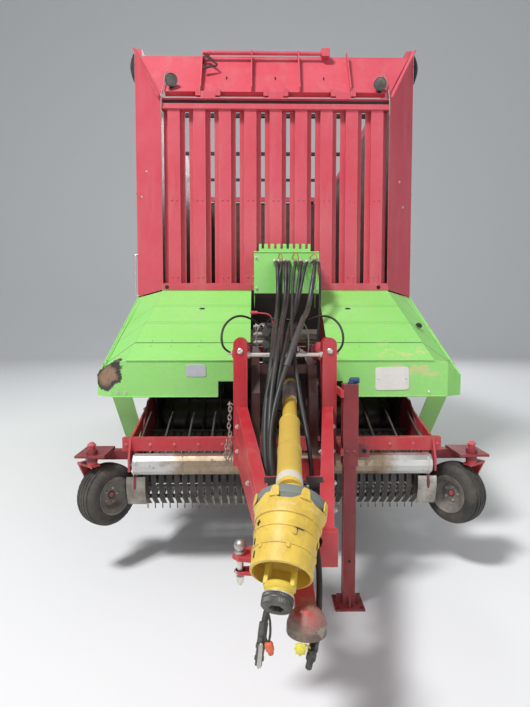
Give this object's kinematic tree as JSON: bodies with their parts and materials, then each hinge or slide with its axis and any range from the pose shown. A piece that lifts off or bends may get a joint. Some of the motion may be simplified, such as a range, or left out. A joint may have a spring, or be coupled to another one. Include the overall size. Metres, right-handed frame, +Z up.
{
  "type": "forage wagon",
  "caption": "Tandem-axle self-loading forage wagon with pick-up, feed rotor, hinged drawbar and cylinder-opened rear gate, parked on its jack.",
  "frame": {"origin": "on the ground under the middle of the wagon's overall box", "axes": "+X to the wagon's left, +Y to the rear, +Z up"},
  "size_m": [2.5682, 8.9736, 3.95],
  "materials": {
    "red_paint": "worn red paint",
    "green_paint": "light green paint",
    "grey_steel": "zinc-plated or worn bare steel",
    "dark_steel": "black paint",
    "yellow_plastic": "yellow guard plastic",
    "yellow_steel": "yellow painted yoke",
    "tyre_rubber": "black tread rubber",
    "hose_rubber": "black hydraulic hose",
    "rim_paint": "light grey paint",
    "floor_wood": "worn floor boards",
    "rod_chrome": "ground chrome rod",
    "lamp_plastic": "lamp lens and carrier"
  },
  "bodies": {
    "chassis": {"chassis_frame": "red_paint", "load_floor": "floor_wood", "floor_slats": "grey_steel", "front_wall": "red_paint", "front_wings": "red_paint", "hose_rack": "green_paint", "gearbox": "red_paint", "valve_block": "grey_steel", "feed_channel": "red_paint", "mudguards": "green_paint", "gate_hinge": "red_paint", "rear_lights": "lamp_plastic", "roof_bars": "red_paint", "rack_hoses": "hose_rubber", "axle_front": "red_paint", "axle_rear": "red_paint", "side_frame_left": "red_paint", "side_panels_left": "green_paint", "hood_left": "green_paint", "side_frame_right": "red_paint", "side_panels_right": "green_paint", "hood_right": "green_paint"},
    "front_flap": {"front_flap": "red_paint"},
    "feed_rotor": {"feed_rotor": "red_paint"},
    "pickup": {"pickup_frame": "red_paint", "pickup_strippers": "dark_steel"},
    "pickup_reel": {"pickup_reel": "dark_steel"},
    "press_frame": {"press_frame": "red_paint"},
    "press_roller": {"press_roller": "grey_steel"},
    "drawbar": {"drawbar": "red_paint", "coupling_cup": "red_paint", "steering_ball": "grey_steel", "jack_tube": "red_paint", "coupling_hoses": "hose_rubber"},
    "jack_leg": {"jack_leg": "red_paint"},
    "shaft_guard": {"shaft_guard": "yellow_plastic"},
    "shaft_yoke": {"shaft_yoke": "yellow_steel"},
    "tailgate": {"tailgate": "green_paint"},
    "caster_left": {"caster_left": "red_paint"},
    "gauge_wheel_left": {"gauge_wheel_left": "tyre_rubber"},
    "drawbar_barrel_left": {"drawbar_barrel_left": "red_paint"},
    "drawbar_rod_left": {"drawbar_rod_left": "rod_chrome"},
    "gate_barrel_left": {"gate_barrel_left": "red_paint"},
    "gate_rod_left": {"gate_rod_left": "rod_chrome"},
    "knuckle_left": {"knuckle_left": "red_paint"},
    "wheel_front_left": {"tyre_front_left": "tyre_rubber", "rim_front_left": "rim_paint"},
    "wheel_rear_left": {"tyre_rear_left": "tyre_rubber", "rim_rear_left": "rim_paint"},
    "caster_right": {"caster_right": "red_paint"},
    "gauge_wheel_right": {"gauge_wheel_right": "tyre_rubber"},
    "drawbar_barrel_right": {"drawbar_barrel_right": "red_paint"},
    "drawbar_rod_right": {"drawbar_rod_right": "rod_chrome"},
    "gate_barrel_right": {"gate_barrel_right": "red_paint"},
    "gate_rod_right": {"gate_rod_right": "rod_chrome"},
    "knuckle_right": {"knuckle_right": "red_paint"},
    "wheel_front_right": {"tyre_front_right": "tyre_rubber", "rim_front_right": "rim_paint"},
    "wheel_rear_right": {"tyre_rear_right": "tyre_rubber", "rim_rear_right": "rim_paint"}
  },
  "joints": [
    {"name": "flap_hinge", "type": "hinge", "parent": "chassis", "child": "front_flap", "pos_m": [0, -1.522, 3.465], "axis": [1, 0, 0], "range_deg": [0, 26]},
    {"name": "rotor_spin", "type": "hinge", "parent": "chassis", "child": "feed_rotor", "pos_m": [0, -1.8, 0.85], "axis": [1, 0, 0], "continuous": true},
    {"name": "pickup_lift", "type": "hinge", "parent": "chassis", "child": "pickup", "pos_m": [0, -1.56, 1.05], "axis": [1, 0, 0], "range_deg": [0, 16]},
    {"name": "reel_spin", "type": "hinge", "parent": "pickup", "child": "pickup_reel", "pos_m": [0, -2.5, 0.56], "axis": [1, 0, 0], "continuous": true},
    {"name": "press_swing", "type": "hinge", "parent": "pickup", "child": "press_frame", "pos_m": [0, -2.25, 0.96], "axis": [-1, 0, 0], "range_deg": [0, 12]},
    {"name": "roller_spin", "type": "hinge", "parent": "press_frame", "child": "press_roller", "pos_m": [0, -2.78, 0.705], "axis": [1, 0, 0], "continuous": true},
    {"name": "drawbar_hinge", "type": "hinge", "parent": "chassis", "child": "drawbar", "pos_m": [0, -2.97, 0.86], "axis": [1, 0, 0], "range_deg": [-8, 8]},
    {"name": "jack_slide", "type": "slide", "parent": "drawbar", "child": "jack_leg", "axis": [0, 0, 1], "range_m": [0, 0.4]},
    {"name": "shaft_tilt", "type": "hinge", "parent": "chassis", "child": "shaft_guard", "pos_m": [0.04, -2.83, 1.206], "axis": [1, 0, 0], "range_deg": [-8, 8]},
    {"name": "yoke_spin", "type": "hinge", "parent": "shaft_guard", "child": "shaft_yoke", "pos_m": [-0.085, -4.376, 0.761], "axis": [-0.1724, -0.7502, -0.6384], "continuous": true},
    {"name": "gate_hinge", "type": "hinge", "parent": "chassis", "child": "tailgate", "pos_m": [0, 4.451, 3.905], "axis": [1, 0, 0], "range_deg": [0, 95]},
    {"name": "barrel_pin_left", "type": "hinge", "parent": "drawbar", "child": "drawbar_barrel_left", "pos_m": [0.255, -3, 1.4], "axis": [1, 0, 0], "range_deg": [-8, 8]},
    {"name": "rod_slide_left", "type": "slide", "parent": "drawbar_barrel_left", "child": "drawbar_rod_left", "axis": [0, 1, 0], "range_m": [-0.0769, 0.0769]},
    {"name": "gate_barrel_pin_left", "type": "hinge", "parent": "chassis", "child": "gate_barrel_left", "pos_m": [1.247, 4.371, 2.45], "axis": [1, 0, 0], "range_deg": [-17.94, 1]},
    {"name": "gate_rod_slide_left", "type": "slide", "parent": "gate_barrel_left", "child": "gate_rod_left", "axis": [0, 0.0679, 0.9977], "range_m": [0, 0.6168]},
    {"name": "caster_swivel_left", "type": "hinge", "parent": "pickup", "child": "caster_left", "pos_m": [1.176, -2.808, 0.767], "axis": [0, 0, 1], "range_deg": [-70, 0]},
    {"name": "gauge_spin_left", "type": "hinge", "parent": "caster_left", "child": "gauge_wheel_left", "pos_m": [1.11, -2.72, 0.5], "axis": [0.7986, 0.6018, 0], "continuous": true},
    {"name": "front_wheel_spin_left", "type": "hinge", "parent": "chassis", "child": "wheel_front_left", "pos_m": [0.975, 1.24, 0.585], "axis": [1, 0, 0], "continuous": true},
    {"name": "knuckle_steer_left", "type": "hinge", "parent": "chassis", "child": "knuckle_left", "pos_m": [0.59, 2.7, 0.585], "axis": [0, 0, 1], "range_deg": [-12, 12]},
    {"name": "rear_wheel_spin_left", "type": "hinge", "parent": "knuckle_left", "child": "wheel_rear_left", "pos_m": [0.975, 2.7, 0.585], "axis": [1, 0, 0], "continuous": true},
    {"name": "barrel_pin_right", "type": "hinge", "parent": "drawbar", "child": "drawbar_barrel_right", "pos_m": [-0.255, -3, 1.4], "axis": [1, 0, 0], "range_deg": [-8, 8]},
    {"name": "rod_slide_right", "type": "slide", "parent": "drawbar_barrel_right", "child": "drawbar_rod_right", "axis": [0, 1, 0], "range_m": [-0.0769, 0.0769]},
    {"name": "gate_barrel_pin_right", "type": "hinge", "parent": "chassis", "child": "gate_barrel_right", "pos_m": [-1.247, 4.371, 2.45], "axis": [1, 0, 0], "range_deg": [-17.94, 1]},
    {"name": "gate_rod_slide_right", "type": "slide", "parent": "gate_barrel_right", "child": "gate_rod_right", "axis": [0, 0.0679, 0.9977], "range_m": [0, 0.6168]},
    {"name": "caster_swivel_right", "type": "hinge", "parent": "pickup", "child": "caster_right", "pos_m": [-1.176, -2.808, 0.767], "axis": [0, 0, -1], "range_deg": [-70, 0]},
    {"name": "gauge_spin_right", "type": "hinge", "parent": "caster_right", "child": "gauge_wheel_right", "pos_m": [-1.11, -2.72, 0.5], "axis": [-0.7986, 0.6018, 0], "continuous": true},
    {"name": "front_wheel_spin_right", "type": "hinge", "parent": "chassis", "child": "wheel_front_right", "pos_m": [-0.975, 1.24, 0.585], "axis": [1, 0, 0], "continuous": true},
    {"name": "knuckle_steer_right", "type": "hinge", "parent": "chassis", "child": "knuckle_right", "pos_m": [-0.59, 2.7, 0.585], "axis": [0, 0, 1], "range_deg": [-12, 12]},
    {"name": "rear_wheel_spin_right", "type": "hinge", "parent": "knuckle_right", "child": "wheel_rear_right", "pos_m": [-0.975, 2.7, 0.585], "axis": [1, 0, 0], "continuous": true}
  ],
  "couplings": [
    {"joint": "shaft_tilt", "follows": "drawbar_hinge", "ratio": 0.87},
    {"joint": "barrel_pin_left", "follows": "drawbar_hinge", "ratio": -1},
    {"joint": "rod_slide_left", "follows": "drawbar_hinge", "m_per_rad": 0.54},
    {"joint": "gate_barrel_pin_left", "follows": "gate_hinge", "ratio": -0.1783},
    {"joint": "gate_rod_slide_left", "follows": "gate_hinge", "m_per_rad": 0.37081},
    {"joint": "barrel_pin_right", "follows": "drawbar_hinge", "ratio": -1},
    {"joint": "rod_slide_right", "follows": "drawbar_hinge", "m_per_rad": 0.54},
    {"joint": "gate_barrel_pin_right", "follows": "gate_hinge", "ratio": -0.1783},
    {"joint": "gate_rod_slide_right", "follows": "gate_hinge", "m_per_rad": 0.37081},
    {"joint": "knuckle_steer_right", "follows": "knuckle_steer_left", "ratio": 1}
  ]
}
